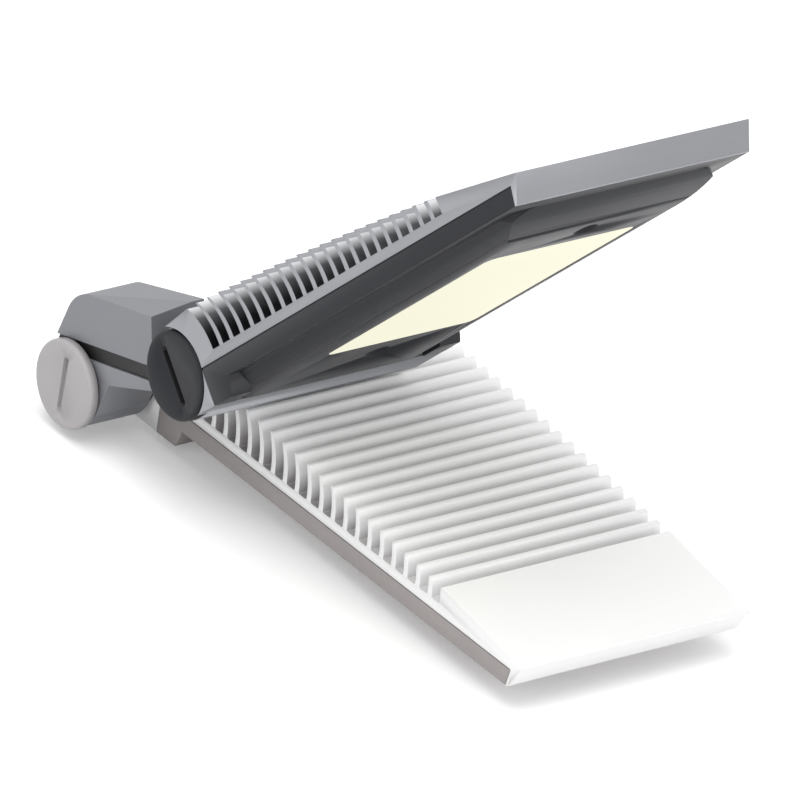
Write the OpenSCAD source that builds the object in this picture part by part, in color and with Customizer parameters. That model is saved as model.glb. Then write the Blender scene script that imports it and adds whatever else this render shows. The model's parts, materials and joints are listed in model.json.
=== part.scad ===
// Folding LED desk lamp: finned base plate, short swing arm, finned LED head.
// Millimetres, +Z up, the front of the lamp faces -Y and the arm side faces -X.
// The origin is the middle of the base's resting plane.

/* [Plates] */
// Width of the head and of the base, along the hinge
plate_w = 100; // [90:1:120]
// Length from the hinge axis to the front edge
plate_l = 226; // [215:1:250]
// Height of the front face
front_h = 10; // [9:0.5:12]
// How far the foot of the front face is set back
front_slant = 5.8; // [2:0.1:7]
// Height of the hinge axis over the rim
axis_h = 9.5; // [9:0.1:10]
// Radius of the hinge barrel
barrel_r = 16.5; // [16:0.1:18]
// Distance from the hinge axis to the tray
bar_l = 17; // [17:0.5:20]

/* [Fins] */
// Number of slots between the fins
slot_count = 22; // [12:1:22]
// Distance from slot to slot
slot_pitch = 7; // [6.6:0.1:7]
// Width of a slot
slot_w = 4.6; // [4:0.1:4.8]
// Radius of the curve of a slot
slot_bend = 28; // [24:1:60]
// Height of the slot bottoms over the rim
slot_floor = 10.6; // [10.4:0.1:12]
// Position of the last slot, from the hinge axis
slot_last = 176.5; // [172:0.5:177]
// Height of the top where the flat zone starts
flat_h = 16.8; // [16:0.1:20]
// Start of the flat zone, from the hinge axis
flat_start = 179; // [179:1:184]
// Height of the fins at the hinge
fin_h = 28; // [26:0.1:28]

/* [Tray] */
// Height of the tray's side strip
strip_h = 7; // [6:0.1:8]
// Width of the flat rim round the pan
rim_w = 5; // [4:0.1:7]
// Depth of the pan under the rim
pan_d = 7; // [5:0.1:7]
// Length of the curve at the front of the pan
pan_nose = 28; // [22:1:32]
// Width of the curve at the sides of the pan
pan_side = 11; // [8:0.5:13]
// Wall of the tray
tray_wall = 2; // [1.5:0.1:2.2]
// Length of the cheeks at the hinge end of the rim
cheek_l = 14; // [10:1:18]
// Play between the tray and the housing
seam = 0.3; // [0.2:0.05:0.4]

/* [Light] */
// Distance from the sides to the light panel
led_inset = 18; // [17:0.5:24]
// Distance from the front edge to the light panel
led_front = 55; // [54:1:70]
// Distance from the hinge axis to the light panel
led_from = 63; // [60:1:66]
// Corner radius of the light panel
led_corner = 4; // [1:0.5:6]
// Thickness of the diffuser
diffuser_t = 2; // [1.5:0.1:2.5]
// Thickness of the light guide
guide_t = 3; // [2:0.1:3]
// Thickness of the circuit board
board_t = 1.6; // [1:0.1:1.6]
// Radius of the screw wells in the pan
well_r = 4.6; // [4:0.1:5.5]
// Distance from the hinge axis to the rear screw well
well_rear = 49; // [46:1:50]
// Distance from the front edge to the front screw well
well_edge = 41; // [40:0.5:43]

/* [Hinges] */
// Radius of the slotted knobs
knob_r = 16.3; // [15:0.1:16.4]
// Thickness of a knob
knob_t = 3.4; // [3:0.1:4]
// Thickness of the ring behind a knob
ring_t = 0.9; // [0.6:0.1:1.2]
// Width of the coin slot
coin_w = 2.6; // [2:0.1:4]
// Length of the coin slot
coin_l = 22; // [14:0.5:24]
// Width of the tongue between the friction washers
tongue_w = 14; // [12:0.5:15]
// Thickness of a friction washer
washer_t = 0.8; // [0.5:0.1:1]
// Radius of the hinge axles
axle_r = 4; // [3:0.1:4.5]
// Radial clearance of the axles
fit = 0.05; // [0.02:0.01:0.09]
// Gap between pieces that move past each other
gap = 0.3; // [0.25:0.05:0.4]

/* [Arm] */
// Distance from hinge to hinge along the arm's upper part
arm_l = 66.5; // [63:0.5:80]
// Height of the arm's upper part over the base hinge
arm_drop = 18.4; // [18.4:0.2:26]
// Rise of the arm's upper part over the level, in degrees
arm_rise = 15; // [10:0.5:20]
// Radius of the arm round the base hinge
arm_eye = 15.8; // [15:0.1:16]
// Radius of the arm's elbow
elbow_r = 16; // [14:0.1:16.5]
// Distance from the base hinge to the elbow
elbow_at = 12; // [8:0.5:16]
// Width of the arm
arm_w = 23; // [20:1:23]
// Height of the arm's top over the stem, at the head end
arm_top = 18; // [17:0.1:19]
// Radius of the flange between the arm and the head
flange_r = 11; // [10:0.1:11.4]
// Sideways step of the head past the base
head_step = 32; // [32:1:36]
// Radius of the swivel stem
stem_r = 5; // [4:0.1:5]
// Wall of the swivel bushes
bush_t = 2; // [1.5:0.1:2]
// Height of the black core between the shells
core_h = 5.5; // [5.5:0.1:6.5]

/* [Pose] */
// Opening angle of the head over the base
head_open = 45.5; // [40:0.5:60]

/* [Stand] */
// Height of the rim over the table
stand_h = 10; // [10:0.5:12]
// Inset of the foot from the sides of the base
foot_inset = 16; // [14:1:20]
// Thickness of the ballast plate
ballast_t = 6; // [4:0.5:6]
// Thickness of the rubber pads
pad_t = 1.5; // [1:0.1:2]

/* [Power] */
// Radius of the power button
button_r = 7; // [5:0.5:8]
// Travel of the power button
button_travel = 1.5; // [1:0.1:2]
// Radius of the low-voltage socket
socket_r = 5; // [4:0.1:5.5]

/* [Hidden] */
eps = 0.01;
fine = 96;
silver = "#a5a8ad";
charcoal = "#46474b";
white = "#eeeeee";
strip_grey = "#98938f";
knob_grey = "#a9a6a8";
black = "#161618";
steel = "#b4b6b8";

// Where the hinges are
base_y = plate_l / 2;
base_axis_z = stand_h + axis_h;
head_y = base_y - arm_l * cos(arm_rise) + arm_drop * sin(arm_rise);
head_z = base_axis_z + arm_l * sin(arm_rise) + arm_drop * cos(arm_rise);
base_x = -plate_w / 2;
head_x = base_x - head_step;

// Along the hinge of the head, from its near side
knob_seat = knob_t + ring_t;
seat_r = barrel_r + 0.9;
arm_from = knob_seat + 1;
arm_mid = arm_from + arm_w / 2;
pocket_w = tongue_w + 2 * washer_t;
pocket_from = arm_mid - pocket_w / 2;
pocket_to = arm_mid + pocket_w / 2;
pocket_r = barrel_r - 4;
eye_r = pocket_r - 2 * gap;
tongue_h = eye_r;
axle_end = pocket_to + 6;
washer_r = 9;
core_from = axle_end + 5.5;

// Along the hinge of the base, from its near side
arm_outer = head_x + arm_from - base_x;
arm_inner = arm_outer + arm_w;
base_axle_end = 30;
cap_t = 3;
cap_r = barrel_r - 5;
step_x = plate_w - 16;
inner_r = cap_r - 1.2;
socket_x = 70;
socket_out = 15.4;
end_round = 5;
open_most = 90;
swing_margin = 2;

// Across the plates
strip_end = front_slant - 0.4;
lip_foot = 1.2;
sink = 0.05;
fin_from = 24;
arch = 1.2;
arch_steps = 8;
nose_r = (pan_nose * pan_nose + pan_d * pan_d) / (2 * pan_d);
side_r = (pan_side * pan_side + pan_d * pan_d) / (2 * pan_d);
pan_end = plate_l - front_slant - 9;
pan_corner = 12;
tray_from = bar_l + seam;
tray_to = plate_l - strip_end - seam;
cavity_x = rim_w + pan_side * 0.65;
cavity_to = pan_end - pan_nose + 8;
pan_floor = tray_wall - pan_d;
pan_mid = plate_w / 2;
thread_r = 1.6;
thread_l = 3;
well_front = plate_l - well_edge;
well_top = 4;
well_wall = 1.4;
groove = 0.8;
cheek_w = 9;
foot_t = stand_h - pan_d - pad_t;
foot_from = tray_from + 2.7;
foot_to = well_front - well_r - 1.4;
pad_edge = 2;
pad_l = 20;
ballast_gap = 5;
driver_w = 56;
driver_l = 88;

// The light stack in the head, upwards from the pan's floor
flange = 2;
flange_top = pan_floor + 0.8;
guide_top = flange_top + guide_t;
board_top = guide_top + board_t;
pad_top = board_top + 1;
led_x = led_inset;
led_to = plate_l - led_front;
chip_pitch = (led_to - led_from - 11) / 8;

// Along the arm
flange_t = 2.4;
flange_from = arm_l - barrel_r - gap - flange_t;
shell_end = flange_from - gap;
core_top = -2.2;
core_low = core_top - core_h;
core_inset = 0.8;
facet_w = 18;
facet_rise = arm_top - elbow_r + 0.1;
bore_r = stem_r + bush_t;
bush_l = 7;
nut_l = 4.5;
rear_bush = shell_end - 22;
bore_from = rear_bush - bush_l - nut_l - 1.5;
screw_low = -11;
bolt_in = 2.9;
bolt_a = shell_end - 10;
bolt_b = elbow_at - 7;

// A point of a plate's side view: forwards from the hinge axis, and up from the rim
function side(v, w) = [-v, w - axis_h];

// Stretches an outline of the side view along the hinge
module across(from, to)
    translate([from, 0, 0]) rotate([90, 0, 90]) linear_extrude(to - from) children();

// A round bar on the hinge axis
module bar(from, to, r)
    translate([from, 0, 0]) rotate([0, 90, 0]) cylinder(h = to - from, r = r, $fn = fine);

// A ring on the hinge axis
module ring(from, to, r, bore) difference() {
    bar(from, to, r);
    bar(from - 1, to + 1, bore);
}

// A box from its lowest and highest corners, in a plate's own terms
module block(x0, x1, v0, v1, w0, w1)
    translate([x0, -v1, w0 - axis_h]) cube([x1 - x0, v1 - v0, w1 - w0]);

// A box with upright rounded corners
module soft_block(x0, x1, v0, v1, w0, w1, r)
    translate([x0, -v1, w0 - axis_h]) linear_extrude(w1 - w0) union() {
        translate([r, 0]) square([x1 - x0 - 2 * r, v1 - v0]);
        translate([0, r]) square([x1 - x0, v1 - v0 - 2 * r]);
        for (x = [r, x1 - x0 - r], y = [r, v1 - v0 - r]) translate([x, y]) circle(r = r, $fn = 48);
    }

// An upright round bar on a plate
module post(x, v, w0, w1, r)
    translate([x, -v, w0 - axis_h]) cylinder(h = w1 - w0, r = r, $fn = 48);

module at_base() translate([base_x, base_y, base_axis_z]) children();
// The arm's own terms: from the base hinge forwards, and up from the stem's axis
module at_arm() translate([head_x + arm_from, base_y, base_axis_z]) rotate([-arm_rise, 0, 0])
    translate([0, 0, arm_drop]) children();
module at_head() translate([head_x, head_y, head_z]) rotate([-head_open, 0, 0]) children();

// The finned plate, shared by the base and the head

// Height of the fin tips at a share of the way from the flat zone to the hinge
function arch_at(t) = flat_h + t * (fin_h - flat_h) + 4 * arch * t * (1 - t);

module plate_outline() polygon(concat(
    [
        side(0, axis_h - barrel_r + sink), side(bar_l, axis_h - barrel_r + sink),
        side(bar_l, strip_h), side(plate_l - strip_end, strip_h),
        side(plate_l - front_slant - lip_foot, 0), side(plate_l - front_slant, 0),
        side(plate_l, front_h)
    ],
    [for (i = [0 : arch_steps]) let (t = i / arch_steps)
        side(flat_start + t * (fin_from - flat_start), arch_at(t))],
    [side(0, axis_h + barrel_r - sink)]
));

// One slot: a curved gap with a flat floor that leans towards the hinge as it rises
module slot_outline(v) {
    translate(side(v - slot_bend, slot_floor)) intersection() {
        difference() {
            circle(r = slot_bend + slot_w / 2, $fn = fine);
            circle(r = slot_bend - slot_w / 2, $fn = fine);
        }
        translate([-slot_bend - slot_w, 0]) square([slot_bend, fin_h]);
    }
}

module finned_plate() difference() {
    union() {
        across(0, plate_w) difference() {
            plate_outline();
            for (i = [0 : slot_count - 1]) slot_outline(slot_last - i * slot_pitch);
        }
        bar(0, plate_w, barrel_r);
    }
    // The barrel's far end is rounded behind and below
    rotate([-45, 0, 0]) translate([plate_w - end_round, barrel_r - end_round, -barrel_r]) difference() {
        cube([end_round + 1, end_round + 1, 2 * barrel_r]);
        translate([0, 0, -1]) cylinder(h = 2 * barrel_r + 2, r = end_round, $fn = 48);
    }
}

// The tray under a plate: side strips, flat rim, curved pan and hinge-end cheeks

module rim_outline() polygon([
    side(tray_from, 0), side(tray_from, strip_h - eps), side(tray_to, strip_h - eps),
    side(plate_l - front_slant - lip_foot - seam, 0)
]);

module pan_side_view() {
    polygon([
        side(tray_from, eps), side(tray_from, -pan_d), side(pan_end - pan_nose, -pan_d),
        side(pan_end - pan_nose, eps)
    ]);
    intersection() {
        translate(side(pan_end - pan_nose, nose_r - pan_d)) circle(r = nose_r, $fn = 240);
        polygon([
            side(pan_end - pan_nose - eps, eps), side(pan_end - pan_nose - eps, -pan_d - 1),
            side(pan_end + 1, -pan_d - 1), side(pan_end + 1, eps)
        ]);
    }
}

module pan_end_view() intersection() {
    union() {
        translate([rim_w + pan_side, -pan_d - axis_h])
            square([plate_w - 2 * (rim_w + pan_side), pan_d + eps]);
        for (x = [rim_w + pan_side, plate_w - rim_w - pan_side])
            translate([x, side_r - pan_d - axis_h]) circle(r = side_r, $fn = fine);
    }
    translate([0, -pan_d - axis_h]) square([plate_w, pan_d + eps]);
}

module pan_body() intersection() {
    across(0, plate_w) pan_side_view();
    translate([0, -tray_from, 0]) rotate([90, 0, 0]) linear_extrude(plate_l) pan_end_view();
    soft_block(rim_w, plate_w - rim_w, tray_from - pan_corner - 1, pan_end, -pan_d - 1, 1, pan_corner);
}

module cheek(x) across(x, x + cheek_w) intersection() {
    translate(side(tray_from + cheek_l - 2 * pan_d, 1)) circle(r = pan_d + 6.5, $fn = fine);
    translate(side(tray_from + cheek_l, -pan_d)) square([cheek_l, pan_d + eps]);
}

module tray() difference() {
    union() {
        difference() {
            union() {
                across(0, plate_w) rim_outline();
                pan_body();
                cheek(0);
                cheek(plate_w - cheek_w);
            }
            // The hollow over the pan and the wide hollow behind the strips
            block(cavity_x, plate_w - cavity_x, tray_from + 5, cavity_to, pan_floor, strip_h + 1);
            block(tray_wall, plate_w - tray_wall, tray_from + tray_wall, tray_to - 4,
                tray_wall, strip_h + 1);
            // The shadow line under the plate and the groove round the pan
            for (x = [-1, plate_w - 0.5])
                block(x, x + 1.5, tray_from - 1, plate_l, strip_h - 0.6, strip_h + 1);
            for (x = [rim_w - groove, plate_w - rim_w])
                block(x, x + groove, tray_from + cheek_l, pan_end - pan_corner, -1, groove);
        }
        for (v = [well_rear, well_front])
            post(pan_mid, v, pan_floor - 1, strip_h - eps, well_r + well_wall);
    }
    for (v = [well_rear, well_front]) {
        post(pan_mid, v, -pan_d - 1, well_top, well_r);
        post(pan_mid, v, well_top - 1, strip_h + 1, thread_r + 0.2);
    }
}

// The screws up a tray's wells into the plate
module well_screws() for (v = [well_rear, well_front]) {
    difference() {
        post(pan_mid, v, well_top - 2.4, well_top, 3);
        translate([pan_mid, -v, well_top - 3.4 - axis_h]) cylinder(h = 2.4, r = 1.3, $fn = 6);
    }
    post(pan_mid, v, well_top - eps, strip_h + thread_l, thread_r - fit);
}

module well_threads() for (v = [well_rear, well_front])
    post(pan_mid, v, strip_h - 1, strip_h + thread_l + 0.2, thread_r);

// A knob with a coin slot, its face at x = 0
module slotted_knob() {
    edge = 1.2;
    difference() {
        rotate([0, 90, 0]) rotate_extrude($fn = fine) {
            square([knob_r - edge, knob_t]);
            translate([0, edge]) square([knob_r, knob_t - edge]);
            translate([knob_r - edge, edge]) circle(r = edge, $fn = 32);
        }
        translate([-1, -coin_w / 2, -coin_l / 2 + coin_w / 2])
            cube([2.6, coin_w, coin_l - coin_w]);
        for (end = [-1, 1]) translate([-1, 0, end * (coin_l - coin_w) / 2])
            rotate([0, 90, 0]) cylinder(h = 2.6, r = coin_w / 2, $fn = 24);
    }
}

// Base

module base_housing() color(white) at_base() difference() {
    finned_plate();
    bar(-1, base_axle_end + gap, axle_r + fit);
    bar(core_from, step_x + 1, inner_r);
    bar(step_x, plate_w + 1, cap_r);
    translate([socket_x, barrel_r + 1, 0]) rotate([90, 0, 0])
        cylinder(h = barrel_r, r = socket_r, $fn = fine);
    well_threads();
}

module base_tray() color(strip_grey) at_base() tray();

module base_foot() color(steel) at_base() difference() {
    soft_block(foot_inset, plate_w - foot_inset, foot_from, foot_to, -pan_d - foot_t, -pan_d, 6);
    post(pan_mid, well_rear, -pan_d - 3, 0, well_r);
}

module ballast_plate() color(steel) at_base() difference() {
    block(cavity_x + ballast_gap, plate_w - cavity_x - ballast_gap, tray_from + 5 + ballast_gap,
        cavity_to - 3 * ballast_gap, pan_floor, pan_floor + ballast_t);
    for (v = [well_rear, well_front])
        post(pan_mid, v, -pan_d - 1, strip_h, well_r + well_wall + gap);
}

module rubber_pads() color(black) at_base()
    for (v = [foot_from + pad_edge, (plate_l - pad_l) / 2, foot_to - pad_edge - pad_l])
        soft_block(foot_inset + pad_edge, plate_w - foot_inset - pad_edge, v, v + pad_l,
            -pan_d - foot_t - pad_t, -pan_d - foot_t, 3);

module base_screws() color(steel) at_base() well_screws();

module base_axle() color(steel) at_base() bar(arm_outer - ring_t, base_axle_end, axle_r);

module base_knob() color(knob_grey) at_base()
    translate([arm_outer - knob_seat, 0, 0]) slotted_knob();

module base_washers() color(black) at_base() {
    ring(arm_outer - ring_t, arm_outer, knob_r - 1, axle_r + gap);
    ring(arm_inner, 0, knob_r - 3, axle_r + gap);
}

module barrel_cap() color(strip_grey) at_base() difference() {
    bar(step_x + board_t, plate_w, cap_r - fit);
    bar(step_x, plate_w - cap_t, cap_r - 1.5);
    bar(step_x, plate_w + 1, button_r + gap);
}

module power_button() color(black) at_base() {
    bar(plate_w - cap_t - 2, plate_w + button_travel + gap, button_r);
    bar(plate_w - cap_t - 2, plate_w - cap_t - gap, button_r + 1.4);
    bar(step_x + board_t + 7, plate_w - cap_t - 1.5, 2);
}

module button_switch() color(charcoal) at_base() {
    bar(step_x, step_x + board_t, cap_r - fit);
    translate([step_x + board_t - eps, -4, -4]) cube([5.2, 8, 8]);
}

module power_socket() color(black) at_base() translate([socket_x, socket_out, 0]) rotate([90, 0, 0]) {
    difference() {
        cylinder(h = socket_out - inner_r + 3, r = socket_r - fit, $fn = fine);
        translate([0, 0, -1]) cylinder(h = socket_out - inner_r + 2.5, r = 2.8, $fn = 48);
    }
    translate([0, 0, 1]) cylinder(h = socket_out - inner_r + 1, r = 0.9, $fn = 24);
}

module driver_board() color("#2f6b45") at_base() {
    low = pan_floor + ballast_t;
    high = low + 1.4 + board_t;
    x0 = pan_mid - driver_w / 2;
    x1 = pan_mid + driver_w / 2;
    v0 = (well_rear + well_front - driver_l) / 2;
    v1 = v0 + driver_l;
    block(x0, x1, v0, v1, low + 1.5, low + 1.5 + board_t);
    for (x = [x0 + 4, x1 - 4], v = [v0 + 4, v1 - 4]) post(x, v, low, low + 1.5 + eps, 2);
    block(x0 + 6, x0 + 24, v0 + 10, v0 + 28, high, strip_h - 1);
    block(x1 - 22, x1 - 6, v0 + 8, v0 + 20, high, strip_h - 1.2);
    block(x0 + 8, x0 + 20, v1 - 20, v1 - 12, high, strip_h - 1.8);
    for (v = [v1 - 38, v1 - 26, v1 - 14]) post(x1 - 14, v, high, strip_h - 1, 4);
}

// Arm: an upper part that lies along the stem, and an elbow down to the base hinge

module arm_outline(inset) {
    hull() {
        translate([0, -arm_drop]) circle(r = arm_eye - inset, $fn = fine);
        translate([-elbow_at, 0]) circle(r = elbow_r - inset, $fn = fine);
    }
    hull() {
        translate([-elbow_at, 0]) circle(r = elbow_r - inset, $fn = fine);
        translate([-shell_end, inset - flange_r]) square([1, flange_r + arm_top - 2 * inset]);
    }
}

module arm_body(inset, low, high) difference() {
    translate([inset, 0, 0]) rotate([90, 0, 90]) linear_extrude(arm_w - 2 * inset) intersection() {
        arm_outline(inset);
        translate([-arm_l, low]) square([2 * arm_l, high - low]);
    }
    translate([0, 0, -arm_drop]) bar(-1, arm_w + 1, axle_r + fit);
}

// A round bar along the arm, counted forwards from the base hinge
module rod(from, to, r)
    translate([arm_w / 2, -from, 0]) rotate([90, 0, 0]) cylinder(h = to - from, r = r, $fn = fine);

// The stem's channel, open downwards so that the stem and its bushes can be laid in
module channel(from, to, r) {
    rod(from, to, r);
    translate([arm_w / 2 - r, -to, -arm_eye]) cube([2 * r, to - from, arm_eye]);
}

module stem_room() {
    channel(bore_from, rear_bush, bore_r);
    channel(rear_bush - bush_l - 1, rear_bush, bore_r);
    channel(rear_bush - 1, shell_end, stem_r + 0.5);
    channel(shell_end - bush_l, shell_end + 1, bore_r);
}

// Two screws up through the thin front of the lower half, one down from the elbow's top
module arm_bolts() for (x = [bolt_in, arm_w - bolt_in])
    translate([x, -bolt_a, 0]) children();

module arm_bolt_holes() {
    arm_bolts() translate([0, 0, -arm_drop]) cylinder(h = arm_drop + 2.3, r = 1.3, $fn = 24);
    arm_bolts() translate([0, 0, -arm_drop]) cylinder(h = arm_drop + screw_low, r = 2.5, $fn = 32);
    translate([arm_w / 2, -bolt_b, core_low - 7.5]) cylinder(h = elbow_r + 20, r = 1.3, $fn = 24);
    translate([arm_w / 2, -bolt_b, elbow_r - 5]) cylinder(h = 12, r = 2.5, $fn = 32);
}

module arm_upper_half() color(silver) at_arm() difference() {
    arm_body(0, core_top, arm_top + 1);
    stem_room();
    arm_bolt_holes();
    // The facet at the near side, which runs out towards the elbow
    translate([0, 0, elbow_r - 0.05]) rotate([90, 0, 0]) linear_extrude(shell_end + 1)
        polygon([[-2, -2 * facet_rise / facet_w], [-2, 9], [facet_w, 9], [facet_w, facet_rise]]);
}

module arm_core() color(black) at_arm() difference() {
    arm_body(core_inset, core_low, core_top);
    rod(bore_from, rear_bush, bore_r);
    rod(rear_bush - 1, shell_end, stem_r + 0.5);
    rod(shell_end - bush_l, shell_end + 1, bore_r);
    arm_bolt_holes();
}

module arm_lower_half() color(silver) at_arm() difference() {
    arm_body(0, -arm_drop - arm_eye, core_low);
    arm_bolt_holes();
}

module arm_screw(grip) {
    translate([0, 0, -1.4]) difference() {
        cylinder(h = 1.4, r = 2.3, $fn = 32);
        translate([0, 0, -1]) cylinder(h = 1.8, r = 1, $fn = 6);
    }
    translate([0, 0, -eps]) cylinder(h = grip, r = 1.25, $fn = 24);
}

module arm_screws() color(steel) at_arm() {
    arm_bolts() translate([0, 0, screw_low]) arm_screw(2 - screw_low);
    translate([arm_w / 2, -bolt_b, elbow_r - 5]) mirror([0, 0, 1])
        arm_screw(elbow_r + 2 - core_low);
}

module swivel_bushes() color(knob_grey) at_arm() for (from = [rear_bush - bush_l, shell_end - bush_l])
    difference() {
        rod(from, from + bush_l, bore_r - fit);
        rod(from - 1, from + bush_l + 1, stem_r + fit);
    }

module stem_nut() color(steel) at_arm() difference() {
    rod(rear_bush - bush_l - nut_l, rear_bush - bush_l, bore_r - gap);
    rod(bore_from - 1, rear_bush, stem_r + fit);
}

// The knuckle swivels in the arm and carries the head's hinge

module head_knuckle() color(charcoal) at_arm() difference() {
    union() {
        translate([(arm_w - tongue_w) / 2, -arm_l, 0]) rotate([0, 90, 0])
            cylinder(h = tongue_w, r = eye_r, $fn = fine);
        translate([(arm_w - tongue_w) / 2, -arm_l, -tongue_h / 2])
            cube([tongue_w, barrel_r + gap + 1, tongue_h]);
        rod(flange_from, flange_from + flange_t, flange_r);
        rod(rear_bush - bush_l - nut_l - 1, flange_from + 1, stem_r);
    }
    translate([0, -arm_l, 0]) bar(-1, arm_w + 1, axle_r + fit);
}

// Head

// The way of the tongue through the barrel, from closed to wide open
module tongue_sweep() {
    half = asin(tongue_h / 2 / pocket_r) + swing_margin;
    low = -arm_rise - half;
    high = open_most - arm_rise + half;
    translate([pocket_from, 0, 0]) rotate([90, 0, 90]) linear_extrude(pocket_w) union() {
        circle(r = pocket_r, $fn = fine);
        polygon(concat([[0, 0]], [for (i = [0 : 6]) let (t = low + (high - low) * i / 6)
            [30 * cos(t), 30 * sin(t)]]));
    }
}

module head_housing() color(silver) at_head() difference() {
    union() {
        finned_plate();
        block(led_x, plate_w - led_x, led_from, led_to, pad_top, strip_h + 1);
    }
    bar(-1, knob_seat, seat_r);
    bar(knob_seat - 1, axle_end + gap, axle_r + fit);
    tongue_sweep();
    bar(core_from, plate_w + 1, cap_r);
    well_threads();
}

module head_cap() color(charcoal) at_head() difference() {
    bar(step_x, plate_w, cap_r - fit);
    bar(step_x - 1, plate_w - cap_t, cap_r - 2);
}

module head_tray() color(charcoal) at_head() difference() {
    tray();
    soft_block(led_x, plate_w - led_x, led_from, led_to, -pan_d - 1, 0, led_corner);
}

module led_diffuser() color("#faf8df") at_head() {
    soft_block(led_x + fit, plate_w - led_x - fit, led_from + fit, led_to - fit,
        pan_floor - diffuser_t, pan_floor + eps, led_corner);
    block(led_x - flange, plate_w - led_x + flange, led_from - flange, led_to + flange,
        pan_floor, flange_top);
}

module light_guide() color("#e8eef0") at_head()
    block(led_x - flange, plate_w - led_x + flange, led_from - flange, led_to + flange,
        flange_top, guide_top);

module led_board() color(white) at_head() {
    block(led_x - 4, plate_w - led_x + 4, led_from - flange, led_to + flange, guide_top, board_top);
    for (x = [led_x - flange - 1.9, plate_w - led_x + flange + 0.1], i = [0 : 8])
        block(x, x + 1.8, led_from + 4 + i * chip_pitch, led_from + 7 + i * chip_pitch,
            guide_top - 2, guide_top + eps);
}

module heat_pad() color(knob_grey) at_head()
    block(led_x, plate_w - led_x, led_from, led_to, board_top, pad_top);

module tray_screws() color(black) at_head() well_screws();

module head_axle() color(steel) at_head() bar(knob_t, axle_end, axle_r);

module head_washers() color(knob_grey) at_head() {
    ring(pocket_from, pocket_from + washer_t, washer_r, axle_r + gap);
    ring(pocket_to - washer_t, pocket_to, washer_r, axle_r + gap);
}

module head_knob() color(charcoal) at_head() slotted_knob();

module knob_ring() color(black) at_head() ring(knob_t, knob_seat, knob_r - 1, axle_r + gap);

base_housing();
base_tray();
base_foot();
ballast_plate();
rubber_pads();
base_screws();
base_axle();
base_knob();
base_washers();
barrel_cap();
power_button();
button_switch();
power_socket();
driver_board();
arm_upper_half();
arm_lower_half();
arm_core();
arm_screws();
swivel_bushes();
stem_nut();
head_knuckle();
head_housing();
head_cap();
head_tray();
led_diffuser();
light_guide();
led_board();
heat_pad();
tray_screws();
head_axle();
head_washers();
head_knob();
knob_ring();
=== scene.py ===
import json
import math

import bmesh
import bpy
from bpy.props import FloatProperty, FloatVectorProperty, IntProperty, PointerProperty
from mathutils import Matrix, Vector


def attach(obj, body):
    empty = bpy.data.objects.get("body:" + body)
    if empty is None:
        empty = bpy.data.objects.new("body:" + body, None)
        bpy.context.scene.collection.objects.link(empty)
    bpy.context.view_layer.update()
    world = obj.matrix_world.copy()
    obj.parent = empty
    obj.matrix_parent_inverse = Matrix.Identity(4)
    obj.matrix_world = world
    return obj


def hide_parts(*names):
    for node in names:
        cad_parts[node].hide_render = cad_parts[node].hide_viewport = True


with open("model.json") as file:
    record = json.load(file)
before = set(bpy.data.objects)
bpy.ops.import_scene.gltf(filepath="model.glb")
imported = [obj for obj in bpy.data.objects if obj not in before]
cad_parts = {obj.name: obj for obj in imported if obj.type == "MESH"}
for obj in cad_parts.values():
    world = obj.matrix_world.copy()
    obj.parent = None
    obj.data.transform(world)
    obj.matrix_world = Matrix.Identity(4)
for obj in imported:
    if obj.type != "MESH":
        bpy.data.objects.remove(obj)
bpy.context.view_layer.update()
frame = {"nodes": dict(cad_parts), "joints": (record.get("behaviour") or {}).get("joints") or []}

bl_info = {
    "name": "Folding Desk Lamp",
    "version": (1, 0, 0),
    "blender": (4, 5, 0),
    "location": "3D View > Sidebar > Desk Lamp",
    "description": "Finishes for a folding desk lamp with a finned head and base",
    "category": "Object",
}

NODES = frame["nodes"]

# The head's opening angle over the base in the main view, in degrees
HEAD_OPEN = 45.5


# Settings


class LAMP_PG_finishes(bpy.types.PropertyGroup):
    silver: FloatVectorProperty(
        name="Silver paint", description="Paint of the head and the arm",
        subtype="COLOR", size=3, default=(0.345, 0.352, 0.375))
    arm: FloatVectorProperty(
        name="Arm paint", description="Darker silver of the arm's two shells",
        subtype="COLOR", size=3, default=(0.235, 0.240, 0.258))
    charcoal: FloatVectorProperty(
        name="Charcoal plastic", description="Light tray and head knob",
        subtype="COLOR", size=3, default=(0.020, 0.021, 0.025))
    white: FloatVectorProperty(
        name="White paint", description="Finned base plate",
        subtype="COLOR", size=3, default=(0.86, 0.86, 0.86))
    tray_grey: FloatVectorProperty(
        name="Warm grey plastic", description="Tray under the base plate",
        subtype="COLOR", size=3, default=(0.33, 0.305, 0.30))
    knob_grey: FloatVectorProperty(
        name="Knob grey", description="Slotted knob at the base",
        subtype="COLOR", size=3, default=(0.40, 0.385, 0.39))
    black: FloatVectorProperty(
        name="Black", description="Band of the arm, rings and the power button",
        subtype="COLOR", size=3, default=(0.011, 0.011, 0.012))
    light: FloatVectorProperty(
        name="Light panel", description="Warm white of the lit diffuser",
        subtype="COLOR", size=3, default=(0.957, 0.93, 0.735))
    paint_roughness: FloatProperty(
        name="Paint roughness", description="Gloss of the silver and white paint",
        default=0.42, min=0.1, max=0.9, subtype="FACTOR")


class LAMP_PG_edges(bpy.types.PropertyGroup):
    fin: FloatProperty(
        name="Fin edge", description="Rounding of the fin tips",
        default=0.0008, min=0.0001, max=0.0012, unit="LENGTH")
    housing: FloatProperty(
        name="Housing edge", description="Rounding of the cast housings and the arm",
        default=0.0005, min=0.0001, max=0.001, unit="LENGTH")
    tray: FloatProperty(
        name="Tray edge", description="Rounding of the moulded trays",
        default=0.0004, min=0.0001, max=0.001, unit="LENGTH")
    steps: IntProperty(
        name="Edge steps", description="Faces across a rounded edge",
        default=3, min=1, max=6)


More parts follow.
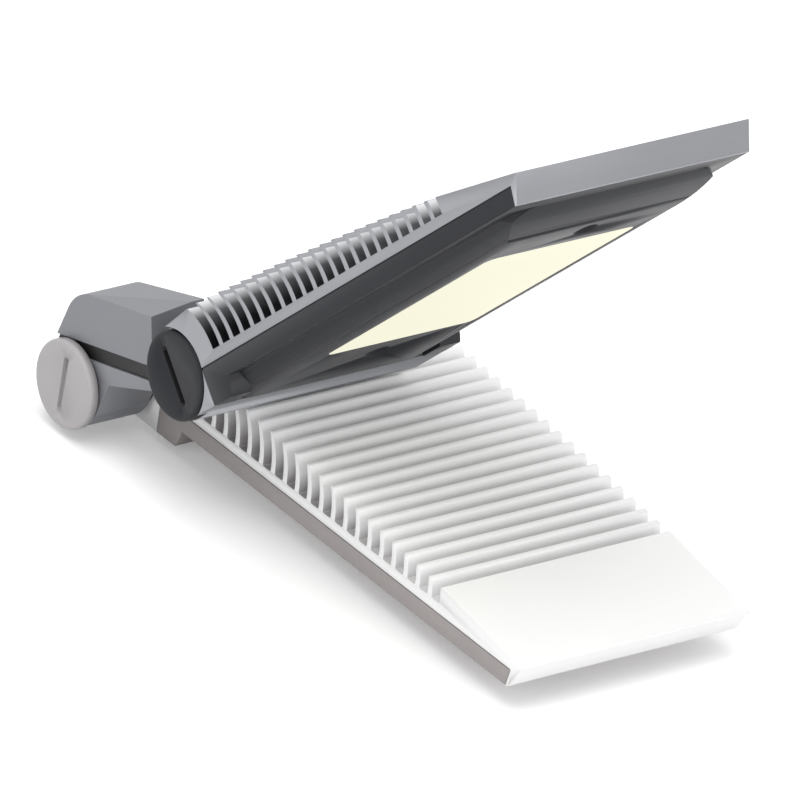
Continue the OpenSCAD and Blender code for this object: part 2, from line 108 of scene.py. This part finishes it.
class LAMP_PG_studio(bpy.types.PropertyGroup):
    floor_half: FloatProperty(
        name="Floor half width", description="Half the width of the pale floor",
        default=4.0, min=1.0, max=10.0, unit="LENGTH")
    key_power: FloatProperty(
        name="Key light", description="Power of the large soft light above",
        default=18.0, min=0.0, max=200.0, unit="POWER")
    side_power: FloatProperty(
        name="Side light", description="Power of the soft light at the left",
        default=3.0, min=0.0, max=200.0, unit="POWER")
    front_power: FloatProperty(
        name="Front light", description="Power of the low soft light in front",
        default=9.0, min=0.0, max=200.0, unit="POWER")
    sky: FloatProperty(
        name="Room level", description="Level of the even light of the room",
        default=0.74, min=0.0, max=2.0)
    lens: FloatProperty(
        name="Lens", description="Focal length of the camera, in millimetres",
        default=540.0, min=50.0, max=900.0)


# Materials


def new_material(name):
    """An empty node material with its output and shader joined."""
    mat = bpy.data.materials.new(name)
    mat.use_nodes = True
    tree = mat.node_tree
    tree.nodes.clear()
    out = tree.nodes.new("ShaderNodeOutputMaterial")
    out.location = (600, 0)
    shader = tree.nodes.new("ShaderNodeBsdfPrincipled")
    shader.location = (300, 0)
    tree.links.new(shader.outputs["BSDF"], out.inputs["Surface"])
    return mat, tree, shader


def object_noise(tree, scale, detail, stretch=(1.0, 1.0, 1.0), x=-700, y=0):
    """Noise on the piece's own coordinates, stretched for a brushed or cast look."""
    where = tree.nodes.new("ShaderNodeTexCoord")
    where.location = (x - 400, y)
    turn = tree.nodes.new("ShaderNodeMapping")
    turn.location = (x - 200, y)
    turn.inputs["Scale"].default_value = stretch
    noise = tree.nodes.new("ShaderNodeTexNoise")
    noise.location = (x, y)
    noise.inputs["Scale"].default_value = scale
    noise.inputs["Detail"].default_value = detail
    tree.links.new(where.outputs["Object"], turn.inputs["Vector"])
    tree.links.new(turn.outputs["Vector"], noise.inputs["Vector"])
    return noise


def tinted(tree, shader, noise, colour, spread):
    """Base colour that drifts a little lighter and darker over the piece."""
    ramp = tree.nodes.new("ShaderNodeValToRGB")
    ramp.location = (-400, 200)
    low = [max(0.0, c * (1.0 - spread)) for c in colour]
    high = [min(1.0, c * (1.0 + spread)) for c in colour]
    ramp.color_ramp.elements[0].position = 0.3
    ramp.color_ramp.elements[0].color = (*low, 1.0)
    ramp.color_ramp.elements[1].position = 0.7
    ramp.color_ramp.elements[1].color = (*high, 1.0)
    tree.links.new(noise.outputs["Fac"], ramp.inputs["Fac"])
    tree.links.new(ramp.outputs["Color"], shader.inputs["Base Color"])


def rough_between(tree, shader, noise, low, high):
    """Roughness that follows the noise between two values."""
    spread = tree.nodes.new("ShaderNodeMapRange")
    spread.location = (-400, -100)
    spread.inputs["From Min"].default_value = 0.3
    spread.inputs["From Max"].default_value = 0.7
    spread.inputs["To Min"].default_value = low
    spread.inputs["To Max"].default_value = high
    tree.links.new(noise.outputs["Fac"], spread.inputs["Value"])
    tree.links.new(spread.outputs["Result"], shader.inputs["Roughness"])


def grained(tree, shader, noise, depth, strength):
    """Fine surface relief."""
    bump = tree.nodes.new("ShaderNodeBump")
    bump.location = (0, -300)
    bump.inputs["Strength"].default_value = strength
    bump.inputs["Distance"].default_value = depth
    tree.links.new(noise.outputs["Fac"], bump.inputs["Height"])
    tree.links.new(bump.outputs["Normal"], shader.inputs["Normal"])


def paint(name, colour, roughness, metallic=0.0, coat=0.0, spread=0.02):
    """Powder paint on a casting: an even coat with a very fine skin."""
    mat, tree, shader = new_material(name)
    broad = object_noise(tree, 18.0, 2.0, y=300)
    fine = object_noise(tree, 900.0, 3.0, y=-300)
    tinted(tree, shader, broad, colour, spread)
    rough_between(tree, shader, broad, roughness - 0.04, roughness + 0.04)
    grained(tree, shader, fine, 0.00004, 0.25)
    shader.inputs["Metallic"].default_value = metallic
    shader.inputs["Coat Weight"].default_value = coat
    shader.inputs["Coat Roughness"].default_value = 0.3
    return mat


# How far under the fin tips the painted shade of the slot walls reaches, in metres, and the
# shares of that depth where the bright tip (a painted highlight on the silver) ends, the middle
# painted shade lies and the deep painted shade starts
SHADE_DEPTH = 0.014
TIP_ENDS, MIDDLE_AT, DEEP_FROM = 0.05, 0.42, 0.85


def painted_slot_shade(name, deep, middle, tip, roughness, metallic, across, offset):
    """Walls of the slots between the fins, with painted shade deep down and, on the silver head, a
    painted highlight at the tips.
    across and offset turn a point into its depth under the fin tips, in metres."""
    mat, tree, shader = new_material(name)
    where = tree.nodes.new("ShaderNodeTexCoord")
    where.location = (-1100, 300)
    dot = tree.nodes.new("ShaderNodeVectorMath")
    dot.operation = "DOT_PRODUCT"
    dot.location = (-900, 300)
    dot.inputs[1].default_value = across
    depth = tree.nodes.new("ShaderNodeMapRange")
    depth.location = (-700, 300)
    depth.inputs["From Min"].default_value = -offset
    depth.inputs["From Max"].default_value = SHADE_DEPTH - offset
    ramp = tree.nodes.new("ShaderNodeValToRGB")
    ramp.location = (-400, 300)
    steps = ramp.color_ramp
    steps.elements[0].position = TIP_ENDS
    steps.elements[0].color = (*tip, 1.0)
    steps.elements[1].position = DEEP_FROM
    steps.elements[1].color = (*deep, 1.0)
    knee = steps.elements.new(MIDDLE_AT)
    knee.color = (*middle, 1.0)
    tree.links.new(where.outputs["Object"], dot.inputs[0])
    tree.links.new(dot.outputs["Value"], depth.inputs["Value"])
    tree.links.new(depth.outputs["Result"], ramp.inputs["Fac"])
    tree.links.new(ramp.outputs["Color"], shader.inputs["Base Color"])
    fine = object_noise(tree, 900.0, 3.0, y=-300)
    rough_between(tree, shader, fine, roughness - 0.03, roughness + 0.03)
    grained(tree, shader, fine, 0.00004, 0.2)
    shader.inputs["Metallic"].default_value = metallic
    return mat


def plastic(name, colour, roughness, grain=0.00006, spread=0.04, gloss=0.4):
    """Moulded plastic with a fine spark-eroded grain."""
    mat, tree, shader = new_material(name)
    broad = object_noise(tree, 26.0, 2.0, y=300)
    fine = object_noise(tree, 1400.0, 2.0, y=-300)
    tinted(tree, shader, broad, colour, spread)
    rough_between(tree, shader, broad, roughness - 0.04, roughness + 0.05)
    grained(tree, shader, fine, grain, 0.35)
    shader.inputs["Specular IOR Level"].default_value = gloss
    return mat


def steel(name, colour, roughness, stretch):
    """Turned or brushed steel, with its lines along one direction."""
    mat, tree, shader = new_material(name)
    lines = object_noise(tree, 500.0, 4.0, stretch=stretch, y=0)
    tinted(tree, shader, lines, colour, 0.10)
    rough_between(tree, shader, lines, roughness - 0.06, roughness + 0.08)
    grained(tree, shader, lines, 0.00003, 0.3)
    shader.inputs["Metallic"].default_value = 1.0
    return mat


def glowing(name, colour, strength):
    """Lit diffuser: opal plastic that glows evenly, with a faint fine texture."""
    mat, tree, shader = new_material(name)
    broad = object_noise(tree, 9.0, 1.0, y=300)
    fine = object_noise(tree, 700.0, 1.0, y=-300)
    tinted(tree, shader, broad, [c * 0.03 for c in colour], 0.02)
    glow = tree.nodes.new("ShaderNodeValToRGB")
    glow.location = (-400, 500)
    glow.color_ramp.elements[0].position = 0.25
    glow.color_ramp.elements[0].color = (*[c * 0.97 for c in colour], 1.0)
    glow.color_ramp.elements[1].position = 0.75
    glow.color_ramp.elements[1].color = (*colour, 1.0)
    tree.links.new(broad.outputs["Fac"], glow.inputs["Fac"])
    tree.links.new(glow.outputs["Color"], shader.inputs["Emission Color"])
    shader.inputs["Emission Strength"].default_value = strength
    shader.inputs["Roughness"].default_value = 0.5
    shader.inputs["Specular IOR Level"].default_value = 0.15
    grained(tree, shader, fine, 0.00003, 0.2)
    return mat


# The finishes already made, by their keys
_finishes = {}


def finish(key):
    """The lamp's finishes, each made once from the settings."""
    if key in _finishes:
        return _finishes[key]
    f = bpy.context.scene.lamp_finishes
    rough = f.paint_roughness
    makers = {
        "silver": lambda: paint("silver_paint", f.silver, rough, metallic=0.45),
        "arm": lambda: paint("arm_paint", f.arm, rough, metallic=0.35),
        "white": lambda: paint("white_paint", f.white, rough, spread=0.01),
        # Silver slot walls: painted shade deep down and a painted highlight at the fin tips
        "silver_slot_painted_shade": lambda: painted_slot_shade(
            "silver_slot_wall_painted_shade_highlight", (0.010, 0.010, 0.012), (0.10, 0.102, 0.108), (0.80, 0.80, 0.82),
            0.36, 0.5, *under_tips("head_tilt", HEAD_OPEN)),
        # White slot walls: painted shade deep down, fading to the white paint at the tips
        "white_slot_painted_shade": lambda: painted_slot_shade(
            "white_slot_wall_painted_shade", (0.40, 0.385, 0.39), (0.78, 0.775, 0.78), f.white,
            rough, 0.0, *under_tips("arm_swing", 0.0)),
        "charcoal": lambda: plastic("charcoal_plastic", f.charcoal, 0.34, 0.00003, gloss=0.25),
        "knob": lambda: plastic("knob_charcoal", [c * 0.95 for c in f.charcoal], 0.42, gloss=0.2),
        # The knob's coin slot takes painted shade: a black darker than the knob's charcoal
        "knob_slot_painted_shade": lambda: plastic("knob_slot_painted_dark_shade", [c * 0.5 for c in f.black], 0.6),
        "tray_grey": lambda: plastic("tray_grey_plastic", f.tray_grey, 0.5),
        "knob_grey": lambda: plastic("knob_grey_plastic", f.knob_grey, 0.42),
        "black": lambda: plastic("black_plastic", f.black, 0.4),
        "rubber": lambda: plastic("black_rubber", [c * 1.4 for c in f.black], 0.8, 0.00015),
        "panel": lambda: glowing("lit_panel", f.light, 0.93),
        "steel": lambda: steel("brushed_steel", (0.55, 0.56, 0.57), 0.34, (0.06, 1.0, 1.0)),
        "screw": lambda: steel("dark_screw_steel", (0.06, 0.06, 0.065), 0.4, (1.0, 1.0, 0.1)),
        "brass": lambda: steel("bush_brass", (0.60, 0.42, 0.18), 0.3, (0.1, 1.0, 1.0)),
        "board": lambda: plastic("board_green", (0.03, 0.12, 0.06), 0.45),
        "led_board": lambda: plastic("led_board_white", (0.75, 0.75, 0.72), 0.5),
        "guide": lambda: plastic("light_guide_clear", (0.72, 0.78, 0.80), 0.15, 0.00001),
        "pad": lambda: plastic("heat_pad_grey", (0.30, 0.30, 0.32), 0.8, 0.0001),
    }
    _finishes[key] = makers[key]()
    return _finishes[key]


# Pieces


def dress(node, key):
    """A CAD node that keeps its shape gets a finish in its material slots."""
    obj = NODES[node]
    mat = finish(key)
    if not obj.material_slots:
        obj.data.materials.append(mat)
    for held in obj.material_slots:
        held.material = mat


# Points nearer than this are one point, in metres
WELD = 0.000004


def softened(node, name, key, body, width, steps, angle=28.0, pick=None, pick_width=None,
             inner=None, inner_key=None, flat=0.6, crease=32.0):
    """A copy of a CAD node with its hard edges rounded. pick chooses edges for pick_width,
    inner the faces that take the finish inner_key, which paints shade into slots. Faces within flat
    degrees are joined, and edges over crease degrees stay sharp."""
    mesh = bpy.data.meshes.new(name)
    bm = bmesh.new()
    bm.from_mesh(NODES[node].data)
    bmesh.ops.remove_doubles(bm, verts=bm.verts, dist=WELD)
    bmesh.ops.dissolve_degenerate(bm, edges=bm.edges, dist=WELD)
    bmesh.ops.dissolve_limit(bm, angle_limit=math.radians(flat), verts=bm.verts, edges=bm.edges)

    def hard(edge):
        return (len(edge.link_faces) == 2
                and edge.calc_length() > width * 2.2
                and edge.calc_face_angle(0.0) > math.radians(angle))

    if pick:
        chosen = [e for e in bm.edges if hard(e) and pick(e)]
        if chosen:
            bmesh.ops.bevel(bm, geom=chosen, offset=pick_width, offset_type="OFFSET",
                            segments=steps, profile=0.5, affect="EDGES", material=-1,
                            clamp_overlap=True)
    rest = [e for e in bm.edges if hard(e) and not (pick and pick(e))]
    if rest:
        bmesh.ops.bevel(bm, geom=rest, offset=width, offset_type="OFFSET",
                        segments=max(1, steps - 1), profile=0.5, affect="EDGES", material=-1,
                        clamp_overlap=True)
    bmesh.ops.triangulate(bm, faces=[f for f in bm.faces if len(f.verts) > 4])
    for face in bm.faces:
        face.smooth = True
        # Faces in slots take the second material, the painted shade
        if inner and inner(face):
            face.material_index = 1
    bm.to_mesh(mesh)
    bm.free()
    mesh.set_sharp_from_angle(angle=math.radians(crease))
    obj = bpy.data.objects.new(name, mesh)
    bpy.context.scene.collection.objects.link(obj)
    obj.data.materials.append(finish(key))
    if inner:
        obj.data.materials.append(finish(inner_key))
    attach(obj, body)
    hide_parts(node)
    return obj


# The plates' own terms, in metres: the hinge axis over the rim, the height of the
# fin tips at the hinge axis and how fast they fall towards the front
AXIS_UP = 0.0095
TIP_UP = 0.0303
TIP_FALL = 0.0723
# Where the slots lie: forwards from the hinge axis, over their floor, and outside the barrel
SLOTS_FROM = 0.014
SLOTS_TO = 0.1795
FLOOR_UP = 0.0100
BARREL_CLEAR = 0.0172
# How deep under the tips a wall of a slot starts to take the painted shade, and a floor
WALL_DEPTH = 0.0012
FLOOR_DEPTH = 0.004
# A face whose normal has more than this share along a direction faces that way
FACES_ALONG = 0.75
FACES_SIDEWAYS = 0.3


def plate_terms(joint, opened):
    """Unit vectors forwards and up of the plate that turns on a joint's axis."""
    y, z = next(j for j in frame["joints"] if j["name"] == joint)["pos_m"][1:]
    turn = math.radians(opened)
    return (y, z), (-math.cos(turn), math.sin(turn)), (math.sin(turn), math.cos(turn))


def under_tips(joint, opened):
    """The vector and the constant that turn a point into its depth under the fin tips."""
    (y, z), ahead, up = plate_terms(joint, opened)
    across = (0.0, -up[0] - TIP_FALL * ahead[0], -up[1] - TIP_FALL * ahead[1])
    return across, TIP_UP - AXIS_UP - (across[1] * y + across[2] * z)


def slot_painted_shade_faces(joint, opened):
    """A test for the faces inside the slots that take the painted shade: across the plate, under the
    tips, over the floor.
    """
    (y, z), ahead, up = plate_terms(joint, opened)

    def inner(face):
        middle = face.calc_center_median()
        v = (middle.y - y) * ahead[0] + (middle.z - z) * ahead[1]
        w = (middle.y - y) * up[0] + (middle.z - z) * up[1] + AXIS_UP
        facing = face.normal.y * up[0] + face.normal.z * up[1]
        if abs(face.normal.x) > FACES_SIDEWAYS or not SLOTS_FROM < v < SLOTS_TO or w < FLOOR_UP:
            return False
        depth = TIP_UP - TIP_FALL * v - w
        if facing < -FACES_ALONG or math.hypot(v, w - AXIS_UP) < BARREL_CLEAR:
            return False
        return depth > WALL_DEPTH and (facing < FACES_ALONG or depth > FLOOR_DEPTH)
    return inner


# The least length of an edge that crosses a plate, and how straight across it runs
LONG_EDGE = 0.06
STRAIGHT = 0.0002


def long_edge(edge):
    """The edges that run along the hinge for the whole width of a plate."""
    a, b = (v.co for v in edge.verts)
    return abs(a.x - b.x) > LONG_EDGE and (a - b).length - abs(a.x - b.x) < STRAIGHT


class LAMP_OT_head_housing(bpy.types.Operator):
    """Silver finned head with softly rounded fins, and the cap of its barrel"""
    bl_idname = "lamp.head_housing"
    bl_label = "Finned Head"

    def execute(self, context):
        e = context.scene.lamp_edges
        # The head's slot walls take painted shade deep down, with a painted highlight at the fin
        # tips
        softened("head_housing", "finned_head", "silver", "head",
                 e.housing, e.steps, pick=long_edge, pick_width=e.fin,
                 inner=slot_painted_shade_faces("head_tilt", HEAD_OPEN), inner_key="silver_slot_painted_shade")
        dress("head_cap", "charcoal")
        return {"FINISHED"}


class LAMP_OT_head_tray(bpy.types.Operator):
    """Charcoal light tray with its strips, rim, pan and cheeks"""
    bl_idname = "lamp.head_tray"
    bl_label = "Light Tray"

    def execute(self, context):
        e = context.scene.lamp_edges
        softened("head_tray", "light_tray", "charcoal", "head",
                 e.tray, e.steps, flat=0.1)
        dress("tray_screws", "screw")
        return {"FINISHED"}


class LAMP_OT_light_panel(bpy.types.Operator):
    """Glowing diffuser with the guide, board and heat pad behind it"""
    bl_idname = "lamp.light_panel"
    bl_label = "Light Panel"

    def execute(self, context):
        dress("led_diffuser", "panel")
        dress("light_guide", "guide")
        dress("led_board", "led_board")
        dress("heat_pad", "pad")
        return {"FINISHED"}


# The coin slot's faces, which take painted shade, lie between these depths under the knob's face,
# within this radius
COIN_FROM, COIN_TO = 0.0001, 0.0017
COIN_REACH = 0.0125


def knob_slot_shade_faces(face):
    """The floor and the walls of the head knob's coin slot, which take painted shade."""
    middle = face.calc_center_median()
    x, y, z = next(j for j in frame["joints"] if j["name"] == "head_knob_turn")["pos_m"]
    near = math.hypot(middle.y - y, middle.z - z) < COIN_REACH
    return near and COIN_FROM < middle.x - x < COIN_TO


class LAMP_OT_hinge_knobs(bpy.types.Operator):
    """Slotted knobs, rings, axles and washers of the two hinges"""
    bl_idname = "lamp.hinge_knobs"
    bl_label = "Hinge Knobs"

    def execute(self, context):
        e = context.scene.lamp_edges
        # The coin slot's floor and walls take painted shade
        softened("head_knob", "head_coin_knob", "knob", "head_bolt",
                 e.tray, e.steps, angle=50.0, inner=knob_slot_shade_faces, inner_key="knob_slot_painted_shade")
        softened("base_knob", "base_coin_knob", "knob_grey", "base_bolt",
                 e.tray, e.steps, angle=50.0)
        dress("knob_ring", "black")
        dress("head_washers", "black")
        dress("base_washers", "black")
        dress("head_axle", "steel")
        dress("base_axle", "steel")
        return {"FINISHED"}


class LAMP_OT_swing_arm(bpy.types.Operator):
    """Short swing arm with its black band, and the knuckle that carries the head"""
    bl_idname = "lamp.swing_arm"
    bl_label = "Swing Arm"

    def execute(self, context):
        e = context.scene.lamp_edges
        softened("arm_upper_half", "arm_top", "arm", "arm",
                 e.housing, e.steps, angle=20.0, flat=0.1, crease=5.0)
        softened("arm_lower_half", "arm_bottom", "arm", "arm",
                 e.housing, e.steps)
        dress("arm_core", "black")
        softened("head_knuckle", "knuckle", "knob", "knuckle",
                 e.housing, e.steps)
        dress("arm_screws", "steel")
        dress("swivel_bushes", "brass")
        dress("stem_nut", "steel")
        return {"FINISHED"}


class LAMP_OT_base_plate(bpy.types.Operator):
    """White finned base plate with its grey tray, foot, pads and ballast"""
    bl_idname = "lamp.base_plate"
    bl_label = "Base Plate"

    def execute(self, context):
        e = context.scene.lamp_edges
        # The base's slot walls take painted shade deep down
        softened("base_housing", "finned_base", "white", "base",
                 e.housing, e.steps, pick=long_edge, pick_width=e.fin,
                 inner=slot_painted_shade_faces("arm_swing", 0.0), inner_key="white_slot_painted_shade")
        softened("base_tray", "base_underside", "tray_grey", "base",
                 e.tray, e.steps, flat=0.1)
        dress("base_foot", "steel")
        dress("rubber_pads", "rubber")
        dress("ballast_plate", "steel")
        dress("base_screws", "screw")
        return {"FINISHED"}


class LAMP_OT_power_fittings(bpy.types.Operator):
    """Power button, its switch, the barrel's cap, the socket and the driver board"""
    bl_idname = "lamp.power_fittings"
    bl_label = "Power Fittings"

    def execute(self, context):
        dress("power_button", "black")
        dress("button_switch", "black")
        dress("barrel_cap", "tray_grey")
        dress("power_socket", "black")
        dress("driver_board", "board")
        return {"FINISHED"}


# Studio


# Light that the floor adds for the eye alone, to lift it to near white
FLOOR_LIFT = 0.22


def pale_floor(half):
    """The floor: a wide plate that keeps the lamp's shadow on near white."""
    bm = bmesh.new()
    bmesh.ops.create_grid(bm, x_segments=1, y_segments=1, size=half)
    mesh = bpy.data.meshes.new("pale_floor")
    bm.to_mesh(mesh)
    bm.free()
    floor = bpy.data.objects.new("pale_floor", mesh)
    bpy.context.scene.collection.objects.link(floor)
    mat, tree, shader = new_material("floor_white")
    noise = object_noise(tree, 2.0, 2.0, y=300)
    tinted(tree, shader, noise, (0.90, 0.90, 0.905), 0.01)
    shader.inputs["Roughness"].default_value = 0.9
    shader.inputs["Specular IOR Level"].default_value = 0.1
    out = next(n for n in tree.nodes if n.type == "OUTPUT_MATERIAL")
    seen = tree.nodes.new("ShaderNodeLightPath")
    seen.location = (-200, -600)
    glow = tree.nodes.new("ShaderNodeEmission")
    glow.location = (100, -600)
    glow.inputs["Color"].default_value = (1.0, 1.0, 1.0, 1.0)
    level = tree.nodes.new("ShaderNodeMath")
    level.operation = "MULTIPLY"
    level.location = (-20, -500)
    level.inputs[1].default_value = FLOOR_LIFT
    both = tree.nodes.new("ShaderNodeAddShader")
    both.location = (450, -300)
    tree.links.new(seen.outputs["Is Camera Ray"], level.inputs[0])
    tree.links.new(level.outputs["Value"], glow.inputs["Strength"])
    tree.links.new(shader.outputs["BSDF"], both.inputs[0])
    tree.links.new(glow.outputs["Emission"], both.inputs[1])
    tree.links.new(both.outputs["Shader"], out.inputs["Surface"])
    floor.data.materials.append(mat)


def white_room(level):
    """The room: even light for the lamp, plain white for the eye and for gloss."""
    world = bpy.data.worlds.new("white_room")
    bpy.context.scene.world = world
    world.use_nodes = True
    tree = world.node_tree
    tree.nodes.clear()
    out = tree.nodes.new("ShaderNodeOutputWorld")
    even = tree.nodes.new("ShaderNodeBackground")
    even.inputs["Color"].default_value = (1.0, 1.0, 1.0, 1.0)
    even.inputs["Strength"].default_value = level
    plain = tree.nodes.new("ShaderNodeBackground")
    plain.inputs["Color"].default_value = (1.0, 1.0, 1.0, 1.0)
    plain.inputs["Strength"].default_value = 1.0
    ray = tree.nodes.new("ShaderNodeLightPath")
    gloss = tree.nodes.new("ShaderNodeMath")
    gloss.operation = "MAXIMUM"
    clear = tree.nodes.new("ShaderNodeMath")
    clear.operation = "MAXIMUM"
    mix = tree.nodes.new("ShaderNodeMixShader")
    tree.links.new(ray.outputs["Is Camera Ray"], gloss.inputs[0])
    tree.links.new(ray.outputs["Is Glossy Ray"], gloss.inputs[1])
    tree.links.new(gloss.outputs["Value"], clear.inputs[0])
    tree.links.new(ray.outputs["Is Transmission Ray"], clear.inputs[1])
    tree.links.new(clear.outputs["Value"], mix.inputs["Fac"])
    tree.links.new(even.outputs["Background"], mix.inputs[1])
    tree.links.new(plain.outputs["Background"], mix.inputs[2])
    tree.links.new(mix.outputs["Shader"], out.inputs["Surface"])


def soft_light(name, power, place, aim, width):
    """A large soft rectangle of light."""
    light = bpy.data.lights.new(name, "AREA")
    light.shape = "RECTANGLE"
    light.size = width
    light.size_y = width
    light.energy = power
    obj = bpy.data.objects.new(name, light)
    bpy.context.scene.collection.objects.link(obj)
    look = Vector(aim) - Vector(place)
    obj.matrix_world = Matrix.Translation(place) @ look.to_track_quat("-Z", "Y").to_matrix().to_4x4()
    return obj


# Where the camera stood, and its right and forward directions
CAMERA_PLACE = (-3.3512, -3.7721, 2.7770)
CAMERA_RIGHT = (0.78800, -0.59868, 0.14365)
CAMERA_FORWARD = (0.58273, 0.64995, -0.48785)
# How far the lens is turned off that direction, so that the lamp fills the frame
AIM_RIGHT = -0.00475
AIM_DOWN = -0.0154
CLOSER = 1.38


class LAMP_OT_studio(bpy.types.Operator):
    """Pale floor, white room, soft lights and the camera"""
    bl_idname = "lamp.studio"
    bl_label = "Studio"

    def execute(self, context):
        scene = context.scene
        s = scene.lamp_studio
        pale_floor(s.floor_half)
        white_room(s.sky)
        soft_light("key_light", s.key_power, (-0.5, -0.2, 1.8), (0.0, 0.0, 0.05), 1.4)
        soft_light("side_light", s.side_power, (-1.7, -0.5, 0.7), (0.0, 0.0, 0.08), 1.0)
        soft_light("front_light", s.front_power, (0.5, -1.7, 0.45), (0.0, 0.05, 0.04), 1.2)
        right = Vector(CAMERA_RIGHT).normalized()
        forward = Vector(CAMERA_FORWARD).normalized()
        down = forward.cross(right).normalized()
        forward = (forward + AIM_RIGHT * right + AIM_DOWN * down).normalized()
        right = (right - right.dot(forward) * forward).normalized()
        down = forward.cross(right)
        lens = bpy.data.cameras.new("camera")
        lens.sensor_width = 36.0
        lens.sensor_fit = "HORIZONTAL"
        lens.lens = s.lens * CLOSER
        lens.clip_end = 20.0
        camera = bpy.data.objects.new("camera", lens)
        scene.collection.objects.link(camera)
        turn = Matrix((right, -down, -forward)).transposed().to_4x4()
        camera.matrix_world = Matrix.Translation(CAMERA_PLACE) @ turn
        scene.camera = camera
        scene.view_settings.view_transform = "Standard"
        return {"FINISHED"}


class LAMP_PT_panel(bpy.types.Panel):
    bl_idname = "LAMP_PT_panel"
    bl_label = "Desk Lamp"
    bl_space_type = "VIEW_3D"
    bl_region_type = "UI"
    bl_category = "Desk Lamp"

    def draw(self, context):
        column = self.layout.column()
        for operator in OPERATORS:
            column.operator(operator.bl_idname)
        for group in ("lamp_finishes", "lamp_edges", "lamp_studio"):
            settings = getattr(context.scene, group)
            box = self.layout.box()
            for key in settings.__annotations__:
                box.prop(settings, key)


OPERATORS = (
    LAMP_OT_head_housing, LAMP_OT_head_tray, LAMP_OT_light_panel, LAMP_OT_hinge_knobs,
    LAMP_OT_swing_arm, LAMP_OT_base_plate, LAMP_OT_power_fittings, LAMP_OT_studio,
)
GROUPS = (LAMP_PG_finishes, LAMP_PG_edges, LAMP_PG_studio)


def register():
    for cls in (*GROUPS, *OPERATORS, LAMP_PT_panel):
        bpy.utils.register_class(cls)
    bpy.types.Scene.lamp_finishes = PointerProperty(type=LAMP_PG_finishes)
    bpy.types.Scene.lamp_edges = PointerProperty(type=LAMP_PG_edges)
    bpy.types.Scene.lamp_studio = PointerProperty(type=LAMP_PG_studio)


def unregister():
    del bpy.types.Scene.lamp_studio
    del bpy.types.Scene.lamp_edges
    del bpy.types.Scene.lamp_finishes
    for cls in reversed((*GROUPS, *OPERATORS, LAMP_PT_panel)):
        bpy.utils.unregister_class(cls)


def main():
    register()
    bpy.ops.lamp.head_housing()
    bpy.ops.lamp.head_tray()
    bpy.ops.lamp.light_panel()
    bpy.ops.lamp.hinge_knobs()
    bpy.ops.lamp.swing_arm()
    bpy.ops.lamp.base_plate()
    bpy.ops.lamp.power_fittings()
    bpy.ops.lamp.studio()


if __name__ == "__main__":
    main()
